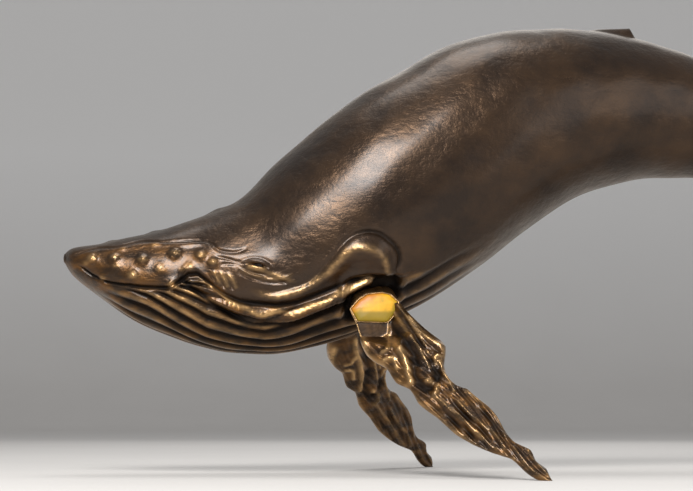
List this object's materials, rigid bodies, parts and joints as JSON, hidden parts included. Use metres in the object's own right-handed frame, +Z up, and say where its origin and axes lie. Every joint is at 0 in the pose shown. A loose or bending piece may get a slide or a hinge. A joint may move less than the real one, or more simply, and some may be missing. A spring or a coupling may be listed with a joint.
{
  "type": "whale figurine",
  "caption": "Cast bronze humpback whale figurine that stands on its two long pectoral fins and the tips of its tail flukes.",
  "frame": {"origin": "on the floor, under the middle of the bounding box", "axes": "+X from the beak to the tail, +Z up, +Y to the whale's right side"},
  "size_m": [0.5578, 0.323, 0.302],
  "materials": {
    "dark_bronze": "dark brown patina, waxed",
    "golden_bronze": "golden brown patina, waxed",
    "sleeve_bronze": "as cast",
    "yellow_inlay": "gloss",
    "eye": "gloss",
    "steel": "plain"
  },
  "bodies": {
    "root": {"head_casting": "dark_bronze", "back_casting": "dark_bronze", "tail_casting": "dark_bronze", "flukes": "dark_bronze", "throat_casting": "golden_bronze", "pectoral_fin_left": "golden_bronze", "pectoral_fin_right": "golden_bronze", "front_sleeve": "sleeve_bronze", "rear_sleeve": "sleeve_bronze", "shoulder_inlay_left": "yellow_inlay", "shoulder_inlay_right": "yellow_inlay", "eye_left": "eye", "eye_right": "eye", "fin_stud_left": "steel", "fin_stud_right": "steel", "fin_nut_left": "steel", "fin_nut_right": "steel", "fin_dowels": "steel", "throat_dowels": "steel", "fluke_pin": "steel"}
  },
  "joints": []
}
